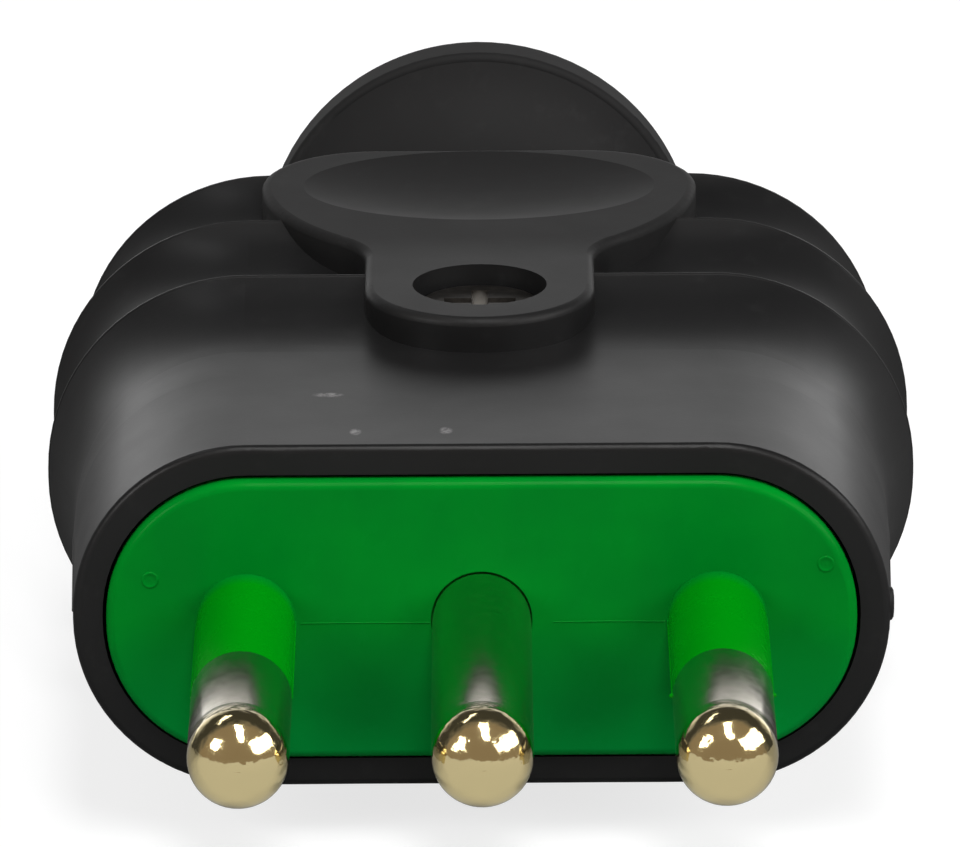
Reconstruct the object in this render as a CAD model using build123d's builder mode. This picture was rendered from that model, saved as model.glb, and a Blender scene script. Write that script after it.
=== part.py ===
from build123d import *
from math import radians, sin
import os

os.makedirs("parts", exist_ok=True)

# Millimetres. The origin is the middle of the flat pin face, on the earth pin.
# The pins point to -Y, the body and the cord outlet lie towards +Y, +Z is up.

# Contact pins of a three pin domestic plug for ten amperes
pin_d = 4.0
pin_pitch = 9.5
pin_len = 19.0
pin_tip_len = 1.75
sleeve_len = 10.0
waist_d = 2.9
shank_d = 3.6
collar_d = 4.9
collar_y = 2.6
collar_len = 2.0
relief_gap = 0.05
relief_depth = 0.3
block_w = 6.0
block_h = 5.2
block_len = 8.0
block_r = 0.4
outer_block_y = 13.4
earth_block_y = 23.2
wire_hole_w = 3.0
wire_hole_floor = 1.0
wire_hole_h = 2.8
wire_hole_len = 6.6

pad_w = 2.6
pad_len = 5.0
pad_t = 0.6
pad_drop = 0.5
wire_screw_len = 3.0
wire_screw_head_d = 4.2
wire_screw_head_h = 1.1
slot_w = 0.8
slot_depth = 0.6
head_bevel = 0.25

# Screw thread shared by every screw and nut
thread_d = 3.0
screw_clear = 0.2
nut_w = 5.5
nut_h = 1.8
small_r = 0.3

# Pin carrier
carrier_gap = 0.15
head_w = 30.3
head_h = 11.7
head_r = 5.7
head_len = 9.0
head_solid = 7.2
head_edge_r = 0.35
tray_step = 0.5
tray_end = 31.5
channel_gap = 0.1
nut_slot_gap = 0.1
nut_roof = 0.9
core_slot_x = 3.9
core_slot_y = 15.4
core_slot_w = 2.4
core_slot_len = 11.6
core_slot_r = 0.5
core_slot_top = 1.0

# Cord clamp on the tail of the carrier
cord_d = 6.6
tail_h = 9.4
tail_len = 7.0
tail_root = 0.2
tail_flat = 0.2
clamp_screw_gap = 0.1
clamp_edge = 2.7
clamp_screw_depth = 2.6
clamp_bar_len = 4.6
clamp_bar_t = 1.3
clamp_bar_gap = 0.5
clamp_r = 0.5
clamp_head_d = 4.8
clamp_head_h = 1.5

# Cover
rim_y = 0.5
rim_w = 33.0
rim_h = 14.4
rim_r = 7.1
rim_edge_r = 0.3
shroud_end = 10.5
core_r = 7.0
core_inset = 0.7
core_lead = 1.0
shoulder_y = 37.6
shoulder_mid_w = 21.5
shoulder_mid_h = 12.4
shoulder_mid_r = 6.1
neck_y = 46.2
neck_d = 10.4
neck_lead = 5.0
loft_inset = 0.6
loft_flat = 0.4
flange_y = 52.1
flange_d = 19.3
flange_t = 3.0
flange_front_r = 0.35
flange_rear_r = 1.0
tray_room = 0.5
throat_w = 22.4
throat_h = 10.4
throat_r = 5.0
cord_bore_d = 7.4

# Grip ridges: width, height, distance of the crest from the pin face, slope length
crest_1_w = 36.4
crest_1_h = 17.2
crest_1_y = 20.5
slope_1_len = 6.6
crest_2_w = 36.5
crest_2_h = 17.3
crest_2_y = 28.7
slope_2_len = 5.4
crest_3_w = 34.6
crest_3_h = 16.9
crest_3_y = 36.5
slope_3_len = 5.4
crest_land = 0.3
crest_round = 0.06
ridge_back = 1.1
ring_t = 1.25
groove_1_y = 22.6
groove_2_y = 30.6

# Flat top plate with its screw tab
plate_front_z = 8.65
plate_rear_z = 9.2
waist_r = 3.5
wing_r = 11.5
flare_angle = 45.6
plate_corner = 4.8
plate_edge_r = 0.35
plate_blank = 4.0
tab_half = 4.8
tab_end = 22.4
dish_y = 32.1
dish_w = 15.0
dish_len = 10.0
dish_depth = 0.6
screw_y = 18.4
screw_recess_d = 5.6
screw_head_d = 5.2
screw_head_h = 1.2
screw_sink = 0.7
screw_head_r = 0.4
cross_len = 3.0
cross_w = 0.7
cross_depth = 0.9
cross_taper = 8

# Cord grommet
grommet_bore_d = 6.4
grommet_lip_d = 10.6
grommet_lip_t = 1.4
grommet_len = 7.5
grommet_edge_r = 0.8

tray_w = head_w - 2 * tray_step
tray_h = head_h - 2 * tray_step
cavity_w = tray_w + 2 * carrier_gap
cavity_h = tray_h + 2 * carrier_gap
rear_y = flange_y + flange_t
clamp_y = tray_end + tail_len / 2
clamp_screw_x = cord_d / 2 + clamp_bar_t + clamp_head_d / 2 + clamp_screw_gap
tail_w = 2 * (clamp_screw_x + clamp_edge)
plate_rear = tab_end + (waist_r + wing_r) * sin(radians(flare_angle)) + plate_corner
plate_rise = (plate_rear_z - plate_front_z) / (plate_rear - screw_y + tab_half)
screw_mouth_z = plate_front_z + plate_rise * tab_half
screw_seat_z = screw_mouth_z - screw_sink - screw_head_h
dish_z = plate_front_z + plate_rise * (dish_y - screw_y + tab_half)
dish_bend = (dish_len**2 / 4 + dish_depth**2) / (2 * dish_depth)
nut_top_z = tray_h / 2 - nut_roof
pad_top_z = -block_h / 2 + wire_hole_floor + wire_hole_h - pad_drop


def across(y):
    """Upright plane across the plug at the distance y behind the pin face."""
    return Plane(origin=(0, y, 0), x_dir=(1, 0, 0), z_dir=(0, -1, 0))


def ring(w, h, y, slope, start, end):
    """Band of the body with one grip ridge: hollow front slope, crest, steep back."""
    lift = (h - rim_h) / 2
    base = rim_h / 2
    top = h / 2 - crest_round
    with BuildSketch(Plane.YZ) as outline:
        with BuildLine():
            Line((start, base), (y - slope, base))
            TangentArc((y - slope, base), (y - crest_land / 2, top), tangent=(1, 0))
            ThreePointArc(
                (y - crest_land / 2, top), (y, h / 2), (y + crest_land / 2, top)
            )
            Line((y + crest_land / 2, top), (min(y + ridge_back, end), base))
            if end > y + ridge_back:
                Line((y + ridge_back, base), (end, base))
            Line((end, base), (end, base - ring_t))
            Line((end, base - ring_t), (start, base - ring_t))
            Line((start, base - ring_t), (start, base))
        make_face()
    half_w = w / 2 - lift
    with BuildLine(across(y)) as path:
        FilletPolyline(
            (0, base),
            (half_w, base),
            (half_w, -base),
            (-half_w, -base),
            (-half_w, base),
            radius=[0, core_r, core_r, core_r, core_r],
            close=True,
        )
    sweep(sections=outline.sketch, path=path.wire())


def pin_body(x, neck_len, block_y):
    """Turned pin with a flattened round tip, a locking collar and a square tail."""
    tip_y = pin_tip_len - pin_len
    with BuildSketch(Plane.XY) as face:
        with BuildLine():
            EllipticalCenterArc(
                (x, tip_y), pin_d / 2, pin_tip_len, start_angle=270, arc_size=90
            )
            Line((x + pin_d / 2, tip_y), (x + pin_d / 2, -neck_len))
            if neck_len > 0:
                Line((x + pin_d / 2, -neck_len), (x + waist_d / 2, -neck_len))
                Line((x + waist_d / 2, -neck_len), (x + waist_d / 2, collar_y))
                Line((x + waist_d / 2, collar_y), (x + collar_d / 2, collar_y))
            else:
                Line((x + pin_d / 2, 0), (x + shank_d / 2, 0))
                Line((x + shank_d / 2, 0), (x + shank_d / 2, collar_y))
                Line((x + shank_d / 2, collar_y), (x + collar_d / 2, collar_y))
            Line((x + collar_d / 2, collar_y), (x + collar_d / 2, collar_y + collar_len))
            Line(
                (x + collar_d / 2, collar_y + collar_len),
                (x + shank_d / 2, collar_y + collar_len),
            )
            Line((x + shank_d / 2, collar_y + collar_len), (x + shank_d / 2, block_y))
            Line((x + shank_d / 2, block_y), (x, block_y))
            Line((x, block_y), (x, -pin_len))
        make_face()
    revolve(face.sketch, axis=Axis((x, 0, 0), (0, 1, 0)))
    with BuildSketch(across(block_y)) as face:
        with Locations((x, 0)):
            RectangleRounded(block_w, block_h, block_r)
    extrude(face.sketch, amount=-block_len)
    with BuildSketch(across(block_y + block_len)) as face:
        with Locations((x, -block_h / 2 + wire_hole_floor + wire_hole_h / 2)):
            RectangleRounded(wire_hole_w, wire_hole_h, small_r)
    extrude(face.sketch, amount=wire_hole_len, mode=Mode.SUBTRACT)
    with BuildSketch(Plane.XY.offset(block_h / 2)) as face:
        with Locations((x, block_y + block_len - wire_hole_len / 2)):
            Circle(thread_d / 2)
    extrude(face.sketch, amount=-block_h / 2, mode=Mode.SUBTRACT)


def moulded_round(x, neck_len, block_y):
    """Space that a pin takes in the plastic that is moulded around it."""
    if neck_len > 0:
        with BuildSketch(across(-neck_len)) as face:
            with Locations((x, 0)):
                Circle(waist_d / 2)
        extrude(face.sketch, amount=-(neck_len + collar_y), mode=Mode.SUBTRACT)
    with BuildSketch(across(collar_y)) as face:
        with Locations((x, 0)):
            Circle(collar_d / 2)
    extrude(face.sketch, amount=-collar_len, mode=Mode.SUBTRACT)
    with BuildSketch(across(collar_y if neck_len > 0 else 0)) as face:
        with Locations((x, 0)):
            Circle(shank_d / 2)
    extrude(face.sketch, amount=-block_y, mode=Mode.SUBTRACT)


def slotted_screw(x, y, tip_z, seat_z, head_d, head_h):
    """Upright machine screw with a slotted head; the thread is a plain cylinder."""
    with BuildSketch(Plane.XY.offset(tip_z)) as face:
        with Locations((x, y)):
            Circle(thread_d / 2)
    extrude(face.sketch, amount=seat_z - tip_z)
    with BuildSketch(Plane.XY.offset(seat_z)) as face:
        with Locations((x, y)):
            Circle(head_d / 2)
    extrude(face.sketch, amount=head_h)
    chamfer(edges().group_by(Axis.Z)[-1], head_bevel)
    with BuildSketch(Plane.XY.offset(seat_z + head_h)) as face:
        with Locations((x, y)):
            Rectangle(slot_w, head_d)
    extrude(face.sketch, amount=-slot_depth, mode=Mode.SUBTRACT)


def square_nut(x, y, top_z):
    """Thin square nut with a bore as wide as the screw thread."""
    with BuildSketch(Plane.XY.offset(top_z)) as face:
        with Locations((x, y)):
            RectangleRounded(nut_w, nut_w, small_r)
    extrude(face.sketch, amount=-nut_h)
    with BuildSketch(Plane.XY.offset(top_z)) as face:
        with Locations((x, y)):
            Circle(thread_d / 2)
    extrude(face.sketch, amount=-nut_h, mode=Mode.SUBTRACT)


def wire_pad(x, rear):
    """Small pressure pad that the screw pushes on to the bare wire."""
    with BuildSketch(Plane.XY.offset(pad_top_z)) as face:
        with Locations((x, rear - wire_hole_len / 2)):
            RectangleRounded(pad_w, pad_len, small_r)
    extrude(face.sketch, amount=-pad_t)


# Cover: one hollow moulding. Its grip ridges are swept round the body.
with BuildPart() as cover:
    # Shroud round the carrier, the body behind it and its three grip ridges
    with BuildSketch(across(rim_y)):
        RectangleRounded(rim_w, rim_h, rim_r)
    with BuildSketch(across(shroud_end)):
        RectangleRounded(crest_1_w - crest_1_h + rim_h, rim_h, core_r)
    loft(ruled=True)
    with BuildSketch(across(shroud_end - core_lead)):
        RectangleRounded(rim_w - 2 * core_inset, rim_h - 2 * core_inset, core_r - core_inset)
    extrude(amount=-(shoulder_y - shroud_end + core_lead))
    ring(crest_1_w, crest_1_h, crest_1_y, slope_1_len, shroud_end, groove_1_y)
    ring(crest_2_w, crest_2_h, crest_2_y, slope_2_len, groove_1_y, groove_2_y)
    ring(crest_3_w, crest_3_h, crest_3_y, slope_3_len, groove_2_y, shoulder_y)

    # Top plate with the screw tab: rises a little to the rear, with a thumb dish
    with BuildPart():
        with BuildSketch(Plane.XY.offset(rim_h / 2 - ring_t)):
            with BuildLine():
                CenterArc((0, screw_y), tab_half, 270, 90)
                Line((tab_half, screw_y), (tab_half, tab_end))
                waist = JernArc((tab_half, tab_end), (0, 1), waist_r, -flare_angle)
                wing = JernArc(waist @ 1, waist % 1, wing_r, flare_angle)
                corner = JernArc(wing @ 1, wing % 1, plate_corner, 90)
                Line(corner @ 1, (0, plate_rear))
                mirror(about=Plane.YZ)
            make_face()
        extrude(amount=plate_blank)
        slope = Vector(0, plate_rear - screw_y + tab_half, plate_rear_z - plate_front_z)
        split(
            bisect_by=Plane(
                origin=(0, plate_rear, plate_rear_z),
                x_dir=slope,
                z_dir=slope.cross(Vector(-1, 0, 0)),
            ),
            keep=Keep.BOTTOM,
        )
        fillet(faces().sort_by(Axis.Z)[-1].edges(), plate_edge_r)
        with BuildSketch(Plane.XY.offset(dish_z + dish_bend - dish_depth)):
            with BuildLine():
                ThreePointArc(
                    (-dish_w / 2, dish_y + dish_bend - dish_depth),
                    (0, dish_y + dish_bend),
                    (dish_w / 2, dish_y + dish_bend - dish_depth),
                )
                Line((dish_w / 2, dish_y + dish_bend - dish_depth), (dish_w / 2, dish_y))
                Line((dish_w / 2, dish_y), (-dish_w / 2, dish_y))
                Line((-dish_w / 2, dish_y), (-dish_w / 2, dish_y + dish_bend - dish_depth))
            make_face()
        revolve(axis=Axis((0, dish_y, dish_z + dish_bend - dish_depth), (1, 0, 0)), mode=Mode.SUBTRACT)

    # Shoulder that draws the flat body in to the round neck
    with BuildSketch(across(shoulder_y)):
        RectangleRounded(crest_3_w - crest_3_h + rim_h, rim_h, core_r)
    with BuildSketch(across((shoulder_y + neck_y) / 2)):
        RectangleRounded(shoulder_mid_w, shoulder_mid_h, shoulder_mid_r)
    with BuildSketch(across(neck_y)):
        RectangleRounded(
            neck_d - 2 * loft_inset, neck_d - 2 * loft_inset, neck_d / 2 - loft_inset - loft_flat
        )
    loft()

    # Neck that flares to the round pulling flange
    with BuildSketch(Plane.XY):
        with BuildLine():
            Line((0, neck_y - neck_lead), (neck_d / 2, neck_y - neck_lead))
            Line((neck_d / 2, neck_y - neck_lead), (neck_d / 2, neck_y))
            TangentArc(
                (neck_d / 2, neck_y), (flange_d / 2 - flange_front_r, flange_y), tangent=(0, 1)
            )
            CenterArc(
                (flange_d / 2 - flange_front_r, flange_y + flange_front_r), flange_front_r, 270, 90
            )
            Line(
                (flange_d / 2, flange_y + flange_front_r), (flange_d / 2, rear_y - flange_rear_r)
            )
            CenterArc(
                (flange_d / 2 - flange_rear_r, rear_y - flange_rear_r), flange_rear_r, 0, 90
            )
            Line((flange_d / 2 - flange_rear_r, rear_y), (0, rear_y))
            Line((0, rear_y), (0, neck_y - neck_lead))
        make_face()
    revolve(axis=Axis.Y)

    # Inside: head recess with a ledge, wiring room, throat and cord bore
    with BuildSketch(across(rim_y)):
        RectangleRounded(
            head_w + 2 * carrier_gap, head_h + 2 * carrier_gap, head_r + carrier_gap
        )
    extrude(amount=-(head_len - rim_y), mode=Mode.SUBTRACT)
    with BuildSketch(across(head_len)):
        RectangleRounded(cavity_w, cavity_h, head_r - tray_step + carrier_gap)
    extrude(amount=-(tray_end + tray_room - head_len), mode=Mode.SUBTRACT)
    with BuildSketch(across(tray_end + tray_room)):
        RectangleRounded(cavity_w, cavity_h, head_r - tray_step + carrier_gap)
    with BuildSketch(across(tray_end + tail_len)):
        RectangleRounded(throat_w, throat_h, throat_r)
    with BuildSketch(across(neck_y)):
        RectangleRounded(
            cord_bore_d - 2 * loft_inset,
            cord_bore_d - 2 * loft_inset,
            cord_bore_d / 2 - loft_inset - loft_flat,
        )
    loft(mode=Mode.SUBTRACT)
    with BuildSketch(across(neck_y - neck_lead)):
        Circle(cord_bore_d / 2)
    extrude(amount=-(rear_y - neck_y + neck_lead), mode=Mode.SUBTRACT)
    with BuildSketch(across(rear_y)):
        Circle(grommet_lip_d / 2)
    extrude(amount=grommet_lip_t, mode=Mode.SUBTRACT)

    # Screw recess in the tab and its clearance hole
    with BuildSketch(Plane.XY.offset(plate_rear_z)):
        with Locations((0, screw_y)):
            Circle(screw_recess_d / 2)
    extrude(amount=screw_seat_z - plate_rear_z, mode=Mode.SUBTRACT)
    with BuildSketch(Plane.XY.offset(screw_seat_z)):
        with Locations((0, screw_y)):
            Circle(thread_d / 2 + screw_clear)
    extrude(amount=tray_h / 2 - screw_seat_z, mode=Mode.SUBTRACT)
    fillet(faces().sort_by(Axis.Y)[0].outer_wire().edges(), rim_edge_r)
cover.part.label = "cover"
export_step(cover.part, "parts/cover.step")

# Pin carrier: green moulding with the sleeves of the two outer pins
with BuildPart() as pin_carrier:
    with BuildSketch(across(0)):
        RectangleRounded(head_w, head_h, head_r)
    extrude(amount=-head_len)
    fillet(faces().sort_by(Axis.Y)[0].edges(), head_edge_r)
    with BuildSketch(across(head_len)):
        RectangleRounded(tray_w, tray_h, head_r - tray_step)
    extrude(amount=-(tray_end - head_len))
    with BuildSketch(across(0)):
        with Locations((-pin_pitch, 0), (pin_pitch, 0)):
            Circle(pin_d / 2)
    extrude(amount=sleeve_len)

    # Open channels for the tails of the pins
    with BuildSketch(Plane.XY.offset(tray_h / 2)):
        with Locations((-pin_pitch, head_solid), (pin_pitch, head_solid)):
            Rectangle(
                block_w + 2 * channel_gap,
                tray_end - head_solid,
                align=(Align.CENTER, Align.MIN),
            )
        with Locations((0, earth_block_y)):
            Rectangle(
                block_w + 2 * channel_gap,
                tray_end - earth_block_y,
                align=(Align.CENTER, Align.MIN),
            )
    extrude(amount=-(tray_h / 2 + block_h / 2), mode=Mode.SUBTRACT)

    # Slot that holds the cover nut, open to the rear, and the screw hole above it
    with BuildSketch(Plane.XY.offset(nut_top_z)):
        with Locations((0, screw_y - nut_w / 2 - nut_slot_gap)):
            Rectangle(
                nut_w + 2 * nut_slot_gap,
                earth_block_y - screw_y + nut_w / 2 + nut_slot_gap,
                align=(Align.CENTER, Align.MIN),
            )
    extrude(amount=-(nut_h + nut_slot_gap), mode=Mode.SUBTRACT)
    with BuildSketch(Plane.XY.offset(tray_h / 2)):
        with Locations((0, screw_y)):
            Circle(thread_d / 2 + screw_clear)
    extrude(amount=-nut_roof, mode=Mode.SUBTRACT)

    # Cored slots that keep the wall round the earth pin even
    with BuildSketch(Plane.XY.offset(-tray_h / 2)):
        with Locations((-core_slot_x, core_slot_y), (core_slot_x, core_slot_y)):
            RectangleRounded(core_slot_w, core_slot_len, core_slot_r)
    extrude(amount=tray_h / 2 + core_slot_top, mode=Mode.SUBTRACT)

    # Tail with the saddle for the cord and two posts for the clamp screws
    with BuildSketch(across(tray_end - tail_root)):
        RectangleRounded(tail_w, tail_h, tail_h / 2 - tail_flat)
        Rectangle(tail_w, tail_h, align=(Align.CENTER, Align.MIN), mode=Mode.SUBTRACT)
        Circle(cord_d / 2, mode=Mode.SUBTRACT)
    extrude(amount=-(tail_len + tail_root))
    with BuildSketch(Plane.XY):
        with Locations((-clamp_screw_x, clamp_y), (clamp_screw_x, clamp_y)):
            Circle(thread_d / 2)
    extrude(amount=-clamp_screw_depth, mode=Mode.SUBTRACT)

    moulded_round(-pin_pitch, sleeve_len, outer_block_y)
    moulded_round(pin_pitch, sleeve_len, outer_block_y)
    moulded_round(0, 0, earth_block_y)
    with BuildSketch(across(0)):
        Circle(pin_d / 2 + relief_gap)
    extrude(amount=-relief_depth, mode=Mode.SUBTRACT)
pin_carrier.part.label = "pin_carrier"
export_step(pin_carrier.part, "parts/pin_carrier.step")

with BuildPart() as live_pin:
    pin_body(pin_pitch, sleeve_len, outer_block_y)
live_pin.part.label = "live_pin"
export_step(live_pin.part, "parts/live_pin.step")

with BuildPart() as neutral_pin:
    pin_body(-pin_pitch, sleeve_len, outer_block_y)
neutral_pin.part.label = "neutral_pin"
export_step(neutral_pin.part, "parts/neutral_pin.step")

with BuildPart() as earth_pin:
    pin_body(0, 0, earth_block_y)
earth_pin.part.label = "earth_pin"
export_step(earth_pin.part, "parts/earth_pin.step")

with BuildPart() as live_screw:
    slotted_screw(
        pin_pitch, outer_block_y + block_len - wire_hole_len / 2, pad_top_z,
        pad_top_z + wire_screw_len, wire_screw_head_d, wire_screw_head_h,
    )
live_screw.part.label = "live_screw"
export_step(live_screw.part, "parts/live_screw.step")

with BuildPart() as neutral_screw:
    slotted_screw(
        -pin_pitch, outer_block_y + block_len - wire_hole_len / 2, pad_top_z,
        pad_top_z + wire_screw_len, wire_screw_head_d, wire_screw_head_h,
    )
neutral_screw.part.label = "neutral_screw"
export_step(neutral_screw.part, "parts/neutral_screw.step")

with BuildPart() as earth_screw:
    slotted_screw(
        0, earth_block_y + block_len - wire_hole_len / 2, pad_top_z,
        pad_top_z + wire_screw_len, wire_screw_head_d, wire_screw_head_h,
    )
earth_screw.part.label = "earth_screw"
export_step(earth_screw.part, "parts/earth_screw.step")

with BuildPart() as live_pad:
    wire_pad(pin_pitch, outer_block_y + block_len)
live_pad.part.label = "live_pad"
export_step(live_pad.part, "parts/live_pad.step")

with BuildPart() as neutral_pad:
    wire_pad(-pin_pitch, outer_block_y + block_len)
neutral_pad.part.label = "neutral_pad"
export_step(neutral_pad.part, "parts/neutral_pad.step")

with BuildPart() as earth_pad:
    wire_pad(0, earth_block_y + block_len)
earth_pad.part.label = "earth_pad"
export_step(earth_pad.part, "parts/earth_pad.step")

# Cross head screw that locks the carrier in the cover
with BuildPart() as cover_screw:
    with BuildSketch(Plane.XY.offset(nut_top_z - nut_h)):
        with Locations((0, screw_y)):
            Circle(thread_d / 2)
    extrude(amount=screw_seat_z - nut_top_z + nut_h)
    with BuildSketch(Plane.XY.offset(screw_seat_z)):
        with Locations((0, screw_y)):
            Circle(screw_head_d / 2)
    extrude(amount=screw_head_h)
    fillet(edges().group_by(Axis.Z)[-1], screw_head_r)
    with BuildSketch(Plane.XY.offset(screw_seat_z + screw_head_h)):
        with Locations((0, screw_y)):
            Rectangle(cross_len, cross_w)
            Rectangle(cross_w, cross_len)
    extrude(amount=-cross_depth, taper=cross_taper, mode=Mode.SUBTRACT)
cover_screw.part.label = "cover_screw"
export_step(cover_screw.part, "parts/cover_screw.step")

with BuildPart() as cover_nut:
    square_nut(0, screw_y, nut_top_z)
cover_nut.part.label = "cover_nut"
export_step(cover_nut.part, "parts/cover_nut.step")

# Arched bar that holds the cord down in its saddle
with BuildPart() as cord_clamp:
    with BuildSketch(across(clamp_y - clamp_bar_len / 2)):
        with Locations((0, clamp_bar_t / 2)):
            Rectangle(tail_w - 2 * clamp_bar_gap, clamp_bar_t)
        Circle(cord_d / 2 + clamp_bar_t)
        Circle(cord_d / 2, mode=Mode.SUBTRACT)
        Rectangle(tail_w, tail_w, align=(Align.CENTER, Align.MAX), mode=Mode.SUBTRACT)
    extrude(amount=-clamp_bar_len)
    with BuildSketch(Plane.XY):
        with Locations((-clamp_screw_x, clamp_y), (clamp_screw_x, clamp_y)):
            Circle(thread_d / 2 + screw_clear)
    extrude(amount=clamp_bar_t, mode=Mode.SUBTRACT)
    fillet(edges().filter_by(Axis.Z), clamp_r)
cord_clamp.part.label = "cord_clamp"
export_step(cord_clamp.part, "parts/cord_clamp.step")

with BuildPart() as clamp_screw_left:
    slotted_screw(
        -clamp_screw_x, clamp_y, -clamp_screw_depth, clamp_bar_t, clamp_head_d, clamp_head_h
    )
clamp_screw_left.part.label = "clamp_screw_left"
export_step(clamp_screw_left.part, "parts/clamp_screw_left.step")

with BuildPart() as clamp_screw_right:
    slotted_screw(
        clamp_screw_x, clamp_y, -clamp_screw_depth, clamp_bar_t, clamp_head_d, clamp_head_h
    )
clamp_screw_right.part.label = "clamp_screw_right"
export_step(clamp_screw_right.part, "parts/clamp_screw_right.step")

# Rubber grommet that lines the cord outlet
with BuildPart() as cord_grommet:
    with BuildSketch(Plane.XY):
        with BuildLine():
            Polyline(
                (grommet_bore_d / 2, rear_y - grommet_len),
                (cord_bore_d / 2, rear_y - grommet_len),
                (cord_bore_d / 2, rear_y - grommet_lip_t),
                (grommet_lip_d / 2, rear_y - grommet_lip_t),
                (grommet_lip_d / 2, rear_y),
                (grommet_bore_d / 2 + grommet_edge_r, rear_y),
            )
            CenterArc(
                (grommet_bore_d / 2 + grommet_edge_r, rear_y - grommet_edge_r),
                grommet_edge_r,
                90,
                90,
            )
            Line(
                (grommet_bore_d / 2, rear_y - grommet_edge_r),
                (grommet_bore_d / 2, rear_y - grommet_len),
            )
        make_face()
    revolve(axis=Axis.Y)
cord_grommet.part.label = "cord_grommet"
export_step(cord_grommet.part, "parts/cord_grommet.step")
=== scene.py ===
# %% [markdown]
# A mains plug for a flat three hole socket, built round the solids of its CAD
# model. The CAD gives every shape a true size. This script gives each piece the
# finish that it has in the hand: satin black plastic, glossy green plastic,
# plated pins and a small cross head screw. Blender counts in metres, so one
# millimetre is a named value that the sizes in millimetres are multiplied by.

# %% Load the plug
from math import cos, pi, radians, sin

import bmesh
import bpy
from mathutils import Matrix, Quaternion, Vector


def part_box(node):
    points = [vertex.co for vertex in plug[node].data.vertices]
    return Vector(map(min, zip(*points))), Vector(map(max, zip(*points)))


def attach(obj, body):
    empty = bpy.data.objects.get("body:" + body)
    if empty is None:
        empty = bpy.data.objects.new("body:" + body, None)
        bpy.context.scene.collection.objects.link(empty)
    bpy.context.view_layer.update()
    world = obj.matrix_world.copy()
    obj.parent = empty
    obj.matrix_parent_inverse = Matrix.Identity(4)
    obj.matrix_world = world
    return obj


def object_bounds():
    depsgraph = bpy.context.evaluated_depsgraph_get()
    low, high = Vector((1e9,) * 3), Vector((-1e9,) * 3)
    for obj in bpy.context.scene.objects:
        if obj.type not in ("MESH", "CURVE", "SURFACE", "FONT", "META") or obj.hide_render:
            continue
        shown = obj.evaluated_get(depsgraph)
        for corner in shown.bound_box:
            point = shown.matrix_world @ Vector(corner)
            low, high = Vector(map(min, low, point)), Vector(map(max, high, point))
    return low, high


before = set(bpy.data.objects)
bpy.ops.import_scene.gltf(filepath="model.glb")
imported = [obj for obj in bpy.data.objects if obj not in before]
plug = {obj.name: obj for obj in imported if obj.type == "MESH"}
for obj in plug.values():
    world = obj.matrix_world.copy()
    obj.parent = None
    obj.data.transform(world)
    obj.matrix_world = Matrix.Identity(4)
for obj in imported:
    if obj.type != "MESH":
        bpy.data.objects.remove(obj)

MM = 0.001
cad_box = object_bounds()
print("nodes:", len(plug), "box:", [round(c / MM, 1) for corner in cad_box for c in corner])

# %% [markdown]
# Plastic is never one flat colour. A mould that was etched by sparks leaves a
# fine grain, handling polishes some places, and dust sits in the hollows. A
# painted picture would show that from one side only. The small helpers below
# make those patterns from noise instead, in the coordinates of the object, so
# they stay in place from every side.

# %% Helpers for a finish


def new_finish(name):
    """A new material, with its node tree and its main shader."""
    finish = bpy.data.materials.new(name)
    finish.use_nodes = True
    return finish, finish.node_tree, finish.node_tree.nodes["Principled BSDF"]


def place(tree):
    """Where a point lies on the plug, in metres."""
    return tree.nodes.new("ShaderNodeTexCoord").outputs["Object"]


def noise(tree, per_mm, detail=3.0, roughness=0.55):
    """Cloudy values round one half, with about so many clouds to a millimetre."""
    node = tree.nodes.new("ShaderNodeTexNoise")
    node.inputs["Scale"].default_value = per_mm / MM
    node.inputs["Detail"].default_value = detail
    node.inputs["Roughness"].default_value = roughness
    tree.links.new(place(tree), node.inputs["Vector"])
    return node.outputs["Fac"]


def spread(tree, value, span, onto):
    """Stretches the values of one span, low and high, onto another, and stops there."""
    node = tree.nodes.new("ShaderNodeMapRange")
    node.inputs["From Min"].default_value, node.inputs["From Max"].default_value = span
    node.inputs["To Min"].default_value, node.inputs["To Max"].default_value = onto
    tree.links.new(value, node.inputs["Value"])
    return node.outputs["Result"]


def blend_colours(tree, factor, colour_a, colour_b):
    """Mixes two colours; each is three numbers or the output of another node."""
    node = tree.nodes.new("ShaderNodeMixRGB")
    for socket, colour in (("Color1", colour_a), ("Color2", colour_b)):
        if isinstance(colour, tuple):
            node.inputs[socket].default_value = (*colour, 1)
        else:
            tree.links.new(colour, node.inputs[socket])
    tree.links.new(factor, node.inputs["Fac"])
    return node.outputs["Color"]


# %% [markdown]
# The cover is a hard thermoplastic, moulded in black. Its surface is satin: it
# mirrors the bright room only at a shallow angle, which is why the top looks
# grey while the slopes that face the viewer stay nearly black. That comes from
# the roughness and a low mirror strength, with no painted shade. Dust in the
# grain makes a few patches a little paler.

# %% Satin black of the cover
BLACK = (0.0094, 0.0093, 0.0095)
BLACK_DUSTY = (0.0165, 0.0163, 0.0165)
DUST_SPAN = (0.56, 0.74)
DUSTIEST = 0.55

black_cover, tree, shader = new_finish("satin_black_cover")
speckle = noise(tree, 0.9, detail=6.0, roughness=0.7)
dust = spread(tree, speckle, DUST_SPAN, (0.0, DUSTIEST))
black = blend_colours(tree, dust, BLACK, BLACK_DUSTY)
print(black_cover.name, BLACK, "to", BLACK_DUSTY)

# %% [markdown]
# Plugs lie loose in drawers and bags. One short scuff and two specks show on the
# top of the shroud in the photograph. They could be cut into the surface, but
# they are too shallow to throw a shade, so each is a paler patch in the plastic
# that a fine noise breaks up.

# %% Scuff and specks on the cover
SCUFFED = (0.17, 0.165, 0.165)
SCUFFS = [  # middle and half widths, in millimetres
    ((-6.2, 7.7, 7.25), (0.7, 0.36, 0.3)),
    ((-5.05, 2.5, 7.2), (0.26, 0.5, 0.3)),
    ((-1.4, 2.6, 7.2), (0.3, 0.55, 0.3)),
]


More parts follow.
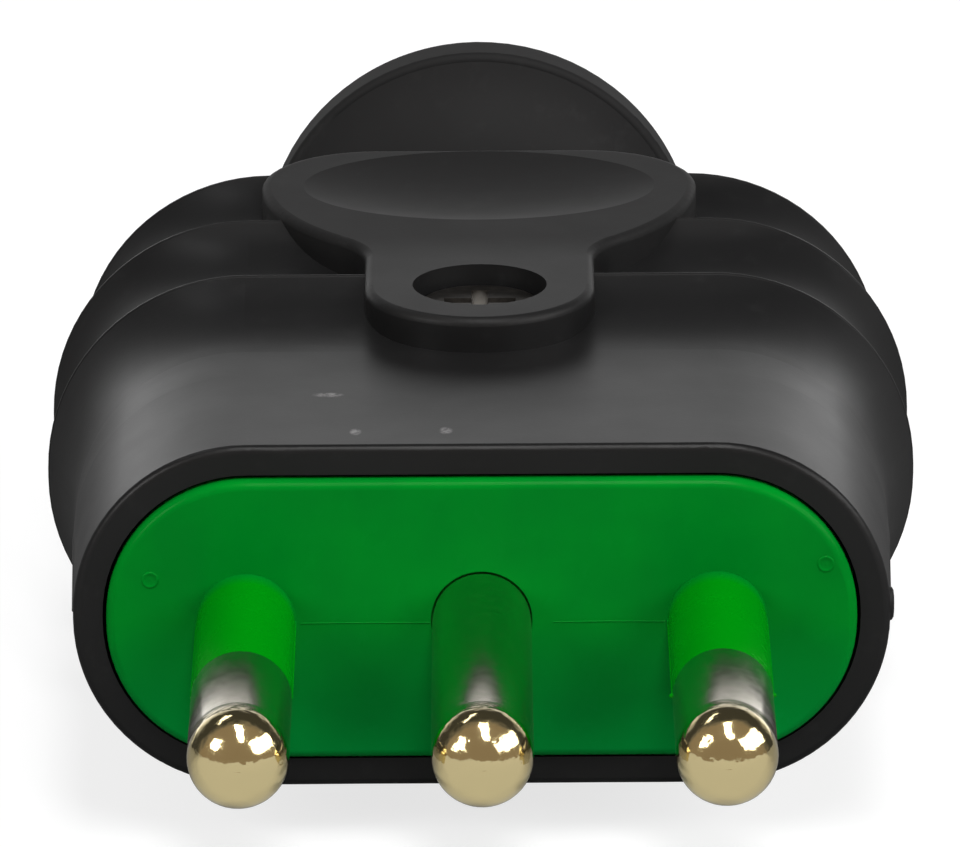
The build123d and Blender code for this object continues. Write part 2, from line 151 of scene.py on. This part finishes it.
def near(tree, centre_mm, radii_mm):
    """1 in the inner half of a small egg shaped region, and down to 0 at its edge."""
    offset = tree.nodes.new("ShaderNodeVectorMath")
    offset.operation = "SUBTRACT"
    offset.inputs[1].default_value = [c * MM for c in centre_mm]
    tree.links.new(place(tree), offset.inputs[0])
    scaled = tree.nodes.new("ShaderNodeVectorMath")
    scaled.operation = "DIVIDE"
    scaled.inputs[1].default_value = [r * MM for r in radii_mm]
    tree.links.new(offset.outputs["Vector"], scaled.inputs[0])
    length = tree.nodes.new("ShaderNodeVectorMath")
    length.operation = "LENGTH"
    tree.links.new(scaled.outputs["Vector"], length.inputs[0])
    return spread(tree, length.outputs["Value"], (0.5, 1.0), (1, 0))


def combine(tree, operation, value_a, value_b):
    """Joins two values, such as by ADD, MULTIPLY or MAXIMUM."""
    node = tree.nodes.new("ShaderNodeMath")
    node.operation = operation
    tree.links.new(value_a, node.inputs[0])
    tree.links.new(value_b, node.inputs[1])
    return node.outputs["Value"]


ragged = spread(tree, noise(tree, 4.0, detail=4.0, roughness=0.7), (0.4, 0.56), (0.1, 0.95))
for centre, radii in SCUFFS:
    patch = combine(tree, "MULTIPLY", near(tree, centre, radii), ragged)
    black = blend_colours(tree, patch, black, SCUFFED)
tree.links.new(black, shader.inputs["Base Color"])
print("scuffs and specks:", len(SCUFFS))

# %% [markdown]
# The mould was etched more coarsely on the plate, the flange and the sides,
# where fingers grip, so those places are rougher. A second material there would
# leave a hard border. So each place is found by its own coordinate, and the
# roughness rises over a few millimetres.

# %% Grip places of the cover
PLATE_Z = (7.9 * MM, 8.5 * MM)
WING_Y = (22.0 * MM, 25.0 * MM)
FLANGE_Y = (42.0 * MM, 47.0 * MM)
SIDE_X = (14.6 * MM, 16.6 * MM)
TAB_MATT, WING_MATT, FLANGE_MATT, SIDE_MATT = 0.13, 0.26, 0.34, 0.17
SATIN = (0.335, 0.37)


def split(tree, vector):
    """The X, Y and Z of a place or direction, as three outputs by name."""
    node = tree.nodes.new("ShaderNodeSeparateXYZ")
    tree.links.new(vector, node.inputs["Vector"])
    return node.outputs


def magnitude(tree, value):
    """A value without its sign."""
    node = tree.nodes.new("ShaderNodeMath")
    node.operation = "ABSOLUTE"
    tree.links.new(value, node.inputs[0])
    return node.outputs["Value"]


at = split(tree, place(tree))
wing_matt = spread(tree, at["Y"], WING_Y, (TAB_MATT, WING_MATT))
plate_matt = combine(tree, "MULTIPLY", spread(tree, at["Z"], PLATE_Z, (0, 1)), wing_matt)
flange_matt = spread(tree, at["Y"], FLANGE_Y, (0, FLANGE_MATT))
side_matt = spread(tree, magnitude(tree, at["X"]), SIDE_X, (0, SIDE_MATT))
matt = combine(tree, "MAXIMUM", plate_matt, combine(tree, "MAXIMUM", flange_matt, side_matt))
satin = spread(tree, noise(tree, 0.35, detail=4.0), (0.3, 0.7), SATIN)
tree.links.new(combine(tree, "ADD", satin, matt), shader.inputs["Roughness"])
print("roughness", SATIN, "and up to", FLANGE_MATT, "more on the flange")

# %% [markdown]
# The grain itself is finer than a hair. Real relief would need millions of
# faces, so a bump tilts the light instead, and the solid keeps its true size.
# The finish then goes on every solid that was moulded from this plastic.

# %% Grain of the cover
COVER_MIRROR = 0.17
GRAIN_DEPTH = 0.006


def grain(tree, under, height, depth_mm, strength):
    """A fine relief that tilts the light on a shader, or under another relief."""
    bump = tree.nodes.new("ShaderNodeBump")
    bump.inputs["Distance"].default_value = depth_mm * MM
    bump.inputs["Strength"].default_value = strength
    tree.links.new(height, bump.inputs["Height"])
    tree.links.new(bump.outputs["Normal"], under.inputs["Normal"])
    return bump


def dress(finish, *names):
    """Puts one finish on solids of the plug by name, and leaves their shape alone."""
    for name in names:
        solid = plug[name]
        solid.data.materials.clear()
        solid.data.materials.append(finish)
    print(finish.name, "on", ", ".join(names))


shader.inputs["Specular IOR Level"].default_value = COVER_MIRROR
grain(tree, shader, noise(tree, 6.0, detail=2.0), GRAIN_DEPTH, 0.3)
dress(black_cover, "cover", "cord_clamp")

# %% [markdown]
# The pin carrier is the green face between the pins, with the sleeves of the
# two outer pins in the same shot of plastic. It is smoother than the cover and
# a little translucent, which a deeper green in soft clouds stands for. Low down
# the green is painted bluer, a painted shade where less light comes through the
# plastic, and the sleeves are painted a brighter green, a painted highlight for
# the light from above. Real scattering inside the plastic would be slower to
# render and would not survive the export.

# %% Glossy green carrier
GREEN = (0.0, 0.225, 0.016)
GREEN_DEEP = (0.0, 0.190, 0.015)
GREEN_LOW_SHADE = (0.0, 0.235, 0.036)
GREEN_SLEEVE_LIT = (0.0, 0.245, 0.003)
SLEEVE_FROM = (-0.1 * MM, -1.2 * MM)
LOW_SHADE_FROM = (0.0, -6.0 * MM)
GREEN_SMOOTH = (0.2, 0.3)
GREEN_MIRROR = 0.03

green_carrier, tree, shader = new_finish("glossy_green_carrier")
cloud = spread(tree, noise(tree, 0.22), (0.35, 0.65), (0.0, 1.0))
at = split(tree, place(tree))
lit_sleeve = spread(tree, at["Y"], SLEEVE_FROM, (0, 1))
low_shade = spread(tree, at["Z"], LOW_SHADE_FROM, (0, 1))
green = blend_colours(tree, cloud, GREEN, GREEN_DEEP)
# Painted shade: the green turns bluer towards the bottom, where less light comes through the
# plastic.
green = blend_colours(tree, low_shade, green, GREEN_LOW_SHADE)
# Painted highlight: the sleeves take a brighter green, for the light that falls on them from
# above.
green = blend_colours(tree, lit_sleeve, green, GREEN_SLEEVE_LIT)
tree.links.new(green, shader.inputs["Base Color"])
smooth = spread(tree, noise(tree, 0.8, detail=5.0), (0.3, 0.7), GREEN_SMOOTH)
tree.links.new(smooth, shader.inputs["Roughness"])
shader.inputs["Specular IOR Level"].default_value = GREEN_MIRROR
grain(tree, shader, noise(tree, 1.6, detail=2.0), 0.002, 0.08)
dress(green_carrier, "pin_carrier")

# %% [markdown]
# The pins are turned from brass and plated with nickel, which gives a warm
# white metal. The round tips rub on every socket, so there the plate is thin and
# the brass shines through. One finish can do both metals: it asks how far along
# the pin a point lies, and goes from plate to worn tip over about a millimetre.

# %% Plated pins
NICKEL = (0.58, 0.548, 0.49)
WORN_TIP = (0.69, 0.58, 0.31)
TIP_Y = (-17.6 * MM, -16.4 * MM)
SHANK_WEAR = 0.12
POLISH = (0.08, 0.14)
BRUSHED = 0.05

plated_pin, tree, shader = new_finish("nickel_plated_pin")
shader.inputs["Metallic"].default_value = 1.0
along = split(tree, place(tree))["Y"]
worn = spread(tree, along, TIP_Y, (1.0, SHANK_WEAR))
tree.links.new(blend_colours(tree, worn, NICKEL, WORN_TIP), shader.inputs["Base Color"])
polish = spread(tree, noise(tree, 2.2, detail=5.0), (0.3, 0.75), POLISH)
brushed = spread(tree, along, TIP_Y, (0.0, BRUSHED))
tree.links.new(combine(tree, "ADD", polish, brushed), shader.inputs["Roughness"])
print(plated_pin.name, "roughness", POLISH)

# %% [markdown]
# Turning leaves very fine rings round the pin, and use leaves small knocks on
# the tip, which break up its highlights. Neither is deeper than a few hundredths
# of a millimetre, too little for geometry, so both are bumps, one under the
# other, and the shank is left almost without knocks.

# %% Rings and knocks of the pins
RING_SCALE = 1.4 / MM
RING_DEPTH = 0.001
KNOCK_DEPTH = 0.055
SHANK_KNOCKS = 0.03

rings = tree.nodes.new("ShaderNodeTexWave")
rings.bands_direction = "Y"
rings.inputs["Scale"].default_value = RING_SCALE
rings.inputs["Distortion"].default_value = 1.5
tree.links.new(place(tree), rings.inputs["Vector"])
turning = grain(tree, shader, rings.outputs["Fac"], RING_DEPTH, 0.12)
tip_only = spread(tree, along, TIP_Y, (1.0, SHANK_KNOCKS))
knocks = combine(tree, "MULTIPLY", noise(tree, 1.1, detail=2.5), tip_only)
grain(tree, turning, knocks, KNOCK_DEPTH, 1.0)
dress(plated_pin, "live_pin", "neutral_pin", "earth_pin")

# %% [markdown]
# Screws, nuts and pads are steel with a thin bright zinc coat, a little duller
# than the pins, with fine scratches from the driver. They are small and mostly
# inside, so one finish serves them all, and noise makes each look handled.

# %% Zinc plated small parts
ZINC = (0.58, 0.58, 0.56)

zinc_steel, tree, shader = new_finish("zinc_plated_steel")
shader.inputs["Metallic"].default_value = 1.0
shader.inputs["Base Color"].default_value = (*ZINC, 1)
dull = spread(tree, noise(tree, 3.0, detail=5.0), (0.3, 0.7), (0.22, 0.38))
tree.links.new(dull, shader.inputs["Roughness"])
grain(tree, shader, noise(tree, 5.0), 0.004, 0.3)
small_parts = [name for name in plug if "_screw" in name or name.endswith(("_nut", "_pad"))]
small_parts.remove("cover_screw")
dress(zinc_steel, *small_parts)

# %% [markdown]
# The cover screw sits deep in its recess, and its coat has gone dark. Only the
# middle of the cross is paler. The same region helper as for the scuffs finds
# that spot.

# %% Darkened head of the cover screw
DARK_COAT = (0.055, 0.052, 0.048)
DULL_COAT = (0.12, 0.11, 0.10)
PALE_MIDDLE = (0.45, 0.44, 0.42)
PALE_MIDDLE_AT, PALE_MIDDLE_HALF = (0.0, 19.3, 7.35), (0.6, 1.3, 0.8)

dark_screw, tree, shader = new_finish("dark_cross_screw")
shader.inputs["Metallic"].default_value = 1.0
pale_middle = near(tree, PALE_MIDDLE_AT, PALE_MIDDLE_HALF)
patches = spread(tree, noise(tree, 2.5, detail=4.0), (0.4, 0.65), (0, 0.5))
mottled = blend_colours(tree, patches, DARK_COAT, DULL_COAT)
tree.links.new(blend_colours(tree, pale_middle, mottled, PALE_MIDDLE), shader.inputs["Base Color"])
tree.links.new(spread(tree, pale_middle, (0, 1), (0.42, 0.55)), shader.inputs["Roughness"])
grain(tree, shader, noise(tree, 5.0), 0.004, 0.3)
dress(dark_screw, "cover_screw")

# %% [markdown]
# The grommet in the cord outlet is soft rubber. Rubber scatters light almost
# evenly, so it is rough, and it is a shade lighter than the hard plastic. A
# deeper grain than the cover's keeps the two apart.

# %% Rubber grommet
RUBBER = (0.022, 0.022, 0.022)

soft_rubber, tree, shader = new_finish("soft_rubber")
shader.inputs["Base Color"].default_value = (*RUBBER, 1)
chalky = spread(tree, noise(tree, 1.0), (0.3, 0.7), (0.6, 0.75))
tree.links.new(chalky, shader.inputs["Roughness"])
grain(tree, shader, noise(tree, 9.0, detail=2.0), 0.01, 0.4)
dress(soft_rubber, "cord_grommet")

# %% [markdown]
# Where the two halves of a mould meet, a hair of plastic creeps into the joint
# and leaves a raised line. On the carrier it runs across the green face at the
# height of the pins and along both sides of each sleeve. A round bead, half
# sunk in the surface, gives the same line, and it is so low that a fingernail
# would only just catch it. How far apart the pins stand and how long the
# sleeves are is read from the solids.

# %% Moulding lines on the green carrier
SEAM_R = 0.03
SEAM_Z = -0.1
SEAM_RISE = 0.02
SLEEVE_R = 2.0
SEAM_START, SEAM_END = -0.05, 0.1
FACE_SEAMS = (("left", -7.3, -2.1), ("right", 2.9, 7.4))

live_low, live_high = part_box("live_pin")
pitch = round((live_low.x + live_high.x) / 2 / MM, 2)
sleeve_len = round(-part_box("pin_carrier")[0].y / MM, 2)
print("outer pins", pitch, "mm from the middle, sleeves", sleeve_len, "mm long")


def bead(name, points_mm, radius_mm, finish):
    """Thin round bead along a line of points, riding on the plug."""
    curve = bpy.data.curves.new(name, "CURVE")
    curve.dimensions = "3D"
    curve.bevel_depth = radius_mm * MM
    curve.bevel_resolution = 3
    curve.use_fill_caps = True
    line = curve.splines.new("POLY")
    line.points.add(len(points_mm) - 1)
    for point, spot in zip(line.points, points_mm):
        point.co = (*[c * MM for c in spot], 1)
    piece = bpy.data.objects.new(name, curve)
    bpy.context.collection.objects.link(piece)
    curve.materials.append(finish)
    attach(piece, "root")
    print(name, "through", len(points_mm), "points, radius", radius_mm, "mm")


for name, x_from, x_to in FACE_SEAMS:
    middle = ((x_from + x_to) / 2, 0, SEAM_Z + SEAM_RISE)
    line = [(x_from, 0, SEAM_Z), middle, (x_to, 0, SEAM_Z)]
    bead(f"face_seam_{name}", line, SEAM_R, green_carrier)
for name, x in (("left", -pitch), ("right", pitch)):
    for flank, reach in (("inner", -SLEEVE_R), ("outer", SLEEVE_R)):
        steps = (SEAM_START, -sleeve_len / 2, SEAM_END - sleeve_len)
        line = [(x + reach, y, 0) for y in steps]
        bead(f"sleeve_seam_{name}_{flank}", line, SEAM_R, green_carrier)

# %% [markdown]
# Two round marks near the ends of the face are left by the ejector pins, which
# push the hot part out of the mould. Each is a shallow ring round a small dome.
# At the open end of the right sleeve the plastic left two tiny nibs. All four
# are round, so one helper turns their profiles, as a lathe would.

# %% Ejector marks and nibs
SIDES = 28
FORWARD = (0, -1, 0)
EJECTOR_PROFILE = [
    (0.36, -0.02), (0.34, 0.02), (0.29, 0.035), (0.25, 0.02), (0.2, 0.0), (0.05, 0.015)
]
EJECTOR_MARKS = (("left", -13.35, 1.77), ("right", 13.87, 2.28))
NIB_PROFILE = [(0.11, -0.06), (0.1, 0.03), (0.07, 0.09), (0.025, 0.12)]
NIB_FROM_END = 0.12


def turned(name, profile_mm, centre_mm, facing, finish, stretch=(1, 1)):
    """Turns a small profile of (radius, height) round the level axis it faces along."""
    form = bmesh.new()
    axis = Vector(facing)
    vertical = Vector((0, 0, 1))
    level = axis.cross(vertical)
    rows = []
    for radius, height in profile_mm:
        row = []
        for step in range(SIDES):
            angle = 2 * pi * step / SIDES
            spoke = vertical * (cos(angle) * stretch[0]) + level * (sin(angle) * stretch[1])
            row.append(form.verts.new((Vector(centre_mm) + spoke * radius + axis * height) * MM))
        rows.append(row)
    for low, high in zip(rows, rows[1:]):
        for step in range(SIDES):
            ahead = (step + 1) % SIDES
            form.faces.new((low[step], low[ahead], high[ahead], high[step]))
    # Only the top is closed, because the foot is sunk in the plastic.
    form.faces.new(rows[-1])
    bmesh.ops.recalc_face_normals(form, faces=form.faces)
    mesh = bpy.data.meshes.new(name)
    form.to_mesh(mesh)
    form.free()
    mesh.shade_smooth()
    piece = bpy.data.objects.new(name, mesh)
    bpy.context.collection.objects.link(piece)
    mesh.materials.append(finish)
    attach(piece, "root")
    print(name, "faces", len(mesh.polygons))


for name, x, z in EJECTOR_MARKS:
    mark = f"ejector_mark_{name}"
    turned(mark, EJECTOR_PROFILE, (x, 0, z), FORWARD, green_carrier)
for name, hand in (("inner", -1), ("outer", 1)):
    spot = (pitch + hand * SLEEVE_R, NIB_FROM_END - sleeve_len, 0)
    turned(f"sleeve_nib_{name}", NIB_PROFILE, spot, (hand, 0, 0), green_carrier)

# %% [markdown]
# The black cover was filled from the side. Where the runner was broken off, a
# low oval scar stands proud of the rim, and the joint of the mould runs back
# from it along the middle of each side. The scar is a turned form that is
# pressed a little flat, and the joint is a bead like those on the carrier.

# %% Gate scar and seam of the cover
COVER_SEAM_Z = 0.2
COVER_SEAM_R = 0.035
SIDE_LINE = ((16.52, 0.9), (16.8, 10.4), (16.8, 13.6))
SCAR_PROFILE = [(0.72, -0.1), (0.68, 0.08), (0.55, 0.15), (0.35, 0.17), (0.1, 0.14)]
SCAR_AT = (16.5, 1.25, COVER_SEAM_Z)
SCAR_STRETCH = (1.0, 0.8)
SIDEWAYS = (1, 0, 0)

for name, hand in (("left", -1), ("right", 1)):
    line = [(hand * x, y, COVER_SEAM_Z) for x, y in SIDE_LINE]
    bead(f"cover_seam_{name}", line, COVER_SEAM_R, black_cover)
turned(
    "gate_scar", SCAR_PROFILE, SCAR_AT, SIDEWAYS, black_cover, SCAR_STRETCH
)

# %% [markdown]
# A plug of this kind is photographed on white paper that runs up behind it. The
# paper takes a soft shadow. Where the camera or a shiny piece looks at it, it
# also glows a little, so it comes out white and the shadow stays faint. Brighter
# lamps would whiten it too, but they would wash out the plug.

# %% Paper floor
HALF_PAPER = 1.5
PAPER = ((0.29, 0.29, 0.29), (0.31, 0.31, 0.31))
CAMERA_GLOW = 0.76
MIRROR_GLOW = 0.35
FRONT_Y = (0.0, -20.0 * MM)

floor_z = cad_box[0][2]
square = ((-1, -1), (1, -1), (1, 1), (-1, 1))
corners = [(x * HALF_PAPER, y * HALF_PAPER, floor_z) for x, y in square]
floor_mesh = bpy.data.meshes.new("paper")
floor_mesh.from_pydata(corners, [], [(0, 1, 2, 3)])
paper = bpy.data.objects.new("paper", floor_mesh)
bpy.context.collection.objects.link(paper)

white_paper, tree, shader = new_finish("white_paper")
tree.links.new(blend_colours(tree, noise(tree, 0.05), *PAPER), shader.inputs["Base Color"])
shader.inputs["Roughness"].default_value = 0.9
shader.inputs["Specular IOR Level"].default_value = 0.0
shader.inputs["Emission Color"].default_value = (1, 1, 1, 1)
path = tree.nodes.new("ShaderNodeLightPath")
lit_front = spread(tree, split(tree, place(tree))["Y"], FRONT_Y, (0, MIRROR_GLOW))
shiny = combine(
    tree, "MAXIMUM", path.outputs["Is Glossy Ray"], path.outputs["Is Transmission Ray"]
)
in_mirror = combine(tree, "MULTIPLY", shiny, lit_front)
to_camera = spread(tree, path.outputs["Is Camera Ray"], (0, 1), (0, CAMERA_GLOW))
tree.links.new(combine(tree, "ADD", to_camera, in_mirror), shader.inputs["Emission Strength"])
floor_mesh.materials.append(white_paper)
print("paper", 2 * HALF_PAPER, "m wide,", round(-floor_z / MM, 2), "mm under the pins' middle")

# %% [markdown]
# Behind the plug the wall is bright from the floor up to about twenty five
# degrees and brightest near the floor, and that band is what the flat tops and
# the rounded corners mirror at a shallow angle. The rest of the room is dim, so
# slopes that face up or forward stay black. Only what is shiny sees a faint warm
# glow in front, as the pin tips do. The camera sees plain white everywhere.

# %% Room round the plug
ROOM = 0.06
BAND = 0.93
HORIZON_BOOST = 1.9
FRONT = 0.27
FRONT_TINT = (1.0, 0.82, 0.66)
WHITE = (1.0, 1.0, 1.0)
BAND_BEHIND = (-0.1, 0.45)
BAND_TOP = (0.3, 0.48)
BAND_SIDE = (0.5, 0.8)
HORIZON = (0.04, 0.3)
IN_FRONT = (0.22, -0.08)

world = bpy.data.worlds.new("studio")
bpy.context.scene.world = world
world.use_nodes = True
tree = world.node_tree
backdrop = tree.nodes["Background"]
backdrop.inputs["Color"].default_value = (*WHITE, 1)
backdrop.inputs["Strength"].default_value = 1.0
way = split(tree, tree.nodes.new("ShaderNodeTexCoord").outputs["Generated"])
glow = spread(tree, way["Y"], BAND_BEHIND, (0, 1))
low = spread(tree, way["Z"], BAND_TOP, (1, 0))
central = spread(tree, magnitude(tree, way["X"]), BAND_SIDE, (1, 0))
horizon = spread(tree, way["Z"], HORIZON, (HORIZON_BOOST, 1))
for share in (low, central, horizon):
    glow = combine(tree, "MULTIPLY", glow, share)
wall = spread(tree, glow, (0, HORIZON_BOOST), (ROOM, BAND * HORIZON_BOOST))
seen = tree.nodes.new("ShaderNodeLightPath")
in_front = spread(tree, way["Y"], IN_FRONT, (0, 1))
front_mirror = combine(tree, "MULTIPLY", in_front, seen.outputs["Is Glossy Ray"])
front_glow = spread(tree, front_mirror, (0, 1), (0, FRONT))
room = tree.nodes.new("ShaderNodeBackground")
tree.links.new(combine(tree, "ADD", wall, front_glow), room.inputs["Strength"])
tree.links.new(blend_colours(tree, front_mirror, WHITE, FRONT_TINT), room.inputs["Color"])
pick = tree.nodes.new("ShaderNodeMixShader")
tree.links.new(seen.outputs["Is Camera Ray"], pick.inputs["Fac"])
tree.links.new(room.outputs["Background"], pick.inputs[1])
tree.links.new(backdrop.outputs["Background"], pick.inputs[2])
tree.links.new(pick.outputs["Shader"], tree.nodes["World Output"].inputs["Surface"])
print("room", ROOM, "bright band", BAND)

# %% [markdown]
# Most of the light falls from above, so the tops of the green sleeves are the
# brightest green. A broad window stands on the right and a small one on the
# left, and a thin strip hangs over the rear. All four are flat lamps, because
# their soft edges and their shapes show as bright spots on the pin tips, in the
# places where the photograph has them.

# %% Windows and ceiling light
FROM_PLUG = 0.75
LAMPS = (  # name, watts, width and depth in metres, direction from the plug
    ("ceiling_light", 3.6, (0.16, 0.6), (0.07, -0.4, 0.92)),
    ("right_window", 4.6, (0.85, 0.36), (0.78, -0.36, 0.5)),
    ("left_window", 2.2, (0.28, 0.3), (-0.7, -0.5, 0.5)),
    ("rear_strip", 0.3, (0.36, 0.08), (-0.36, 0.41, 0.83)),
)


def window(name, power, size, direction):
    """A flat lamp that stands off from the plug and faces it."""
    light = bpy.data.lights.new(name, "AREA")
    light.energy = power
    light.shape = "RECTANGLE"
    light.size, light.size_y = size
    lamp = bpy.data.objects.new(name, light)
    bpy.context.collection.objects.link(lamp)
    outward = Vector(direction).normalized()
    lamp.location = outward * FROM_PLUG
    lamp.rotation_euler = outward.to_track_quat("Z", "Y").to_euler()
    print(name, power, "W")


for lamp_values in LAMPS:
    window(*lamp_values)

# %% [markdown]
# The camera stands well back with a long lens, so the plug shows little
# perspective, and it looks down on the plug at about eighteen degrees. A closer
# camera would swell the pin tips. Its aim is set so that the middle of the pin
# face falls where the photograph has it.

# %% Camera
PICTURE_W, PICTURE_H = 960, 847
FACE_AT = (480.5, 620.0)
PX_PER_MM = 24.8
DISTANCE = 450 * MM
ELEVATION = radians(17.9)
AZIMUTH = radians(0.0)
ROLL = radians(-0.35)
SENSOR_MM = 36

camera_data = bpy.data.cameras.new("camera")
camera_data.sensor_width = SENSOR_MM
camera_data.lens = PX_PER_MM * (DISTANCE / MM) * SENSOR_MM / PICTURE_W
camera_data.clip_start = 10 * MM
camera = bpy.data.objects.new("camera", camera_data)
bpy.context.collection.objects.link(camera)
camera.location = DISTANCE * Vector(
    (sin(AZIMUTH) * cos(ELEVATION), -cos(AZIMUTH) * cos(ELEVATION), sin(ELEVATION))
)
side = Vector((cos(AZIMUTH), sin(AZIMUTH), 0))
upward = camera.location.normalized().cross(side)
aim = (
    side * (PICTURE_W / 2 - FACE_AT[0]) + upward * (FACE_AT[1] - PICTURE_H / 2)
) * (MM / PX_PER_MM)
turn = (aim - camera.location).to_track_quat("-Z", "Y") @ Quaternion((0, 0, 1), ROLL)
camera.rotation_euler = turn.to_euler()
bpy.context.scene.camera = camera
bpy.context.scene.view_settings.view_transform = "Standard"
print("lens", round(camera_data.lens, 1), "aim", [round(c / MM, 2) for c in aim])
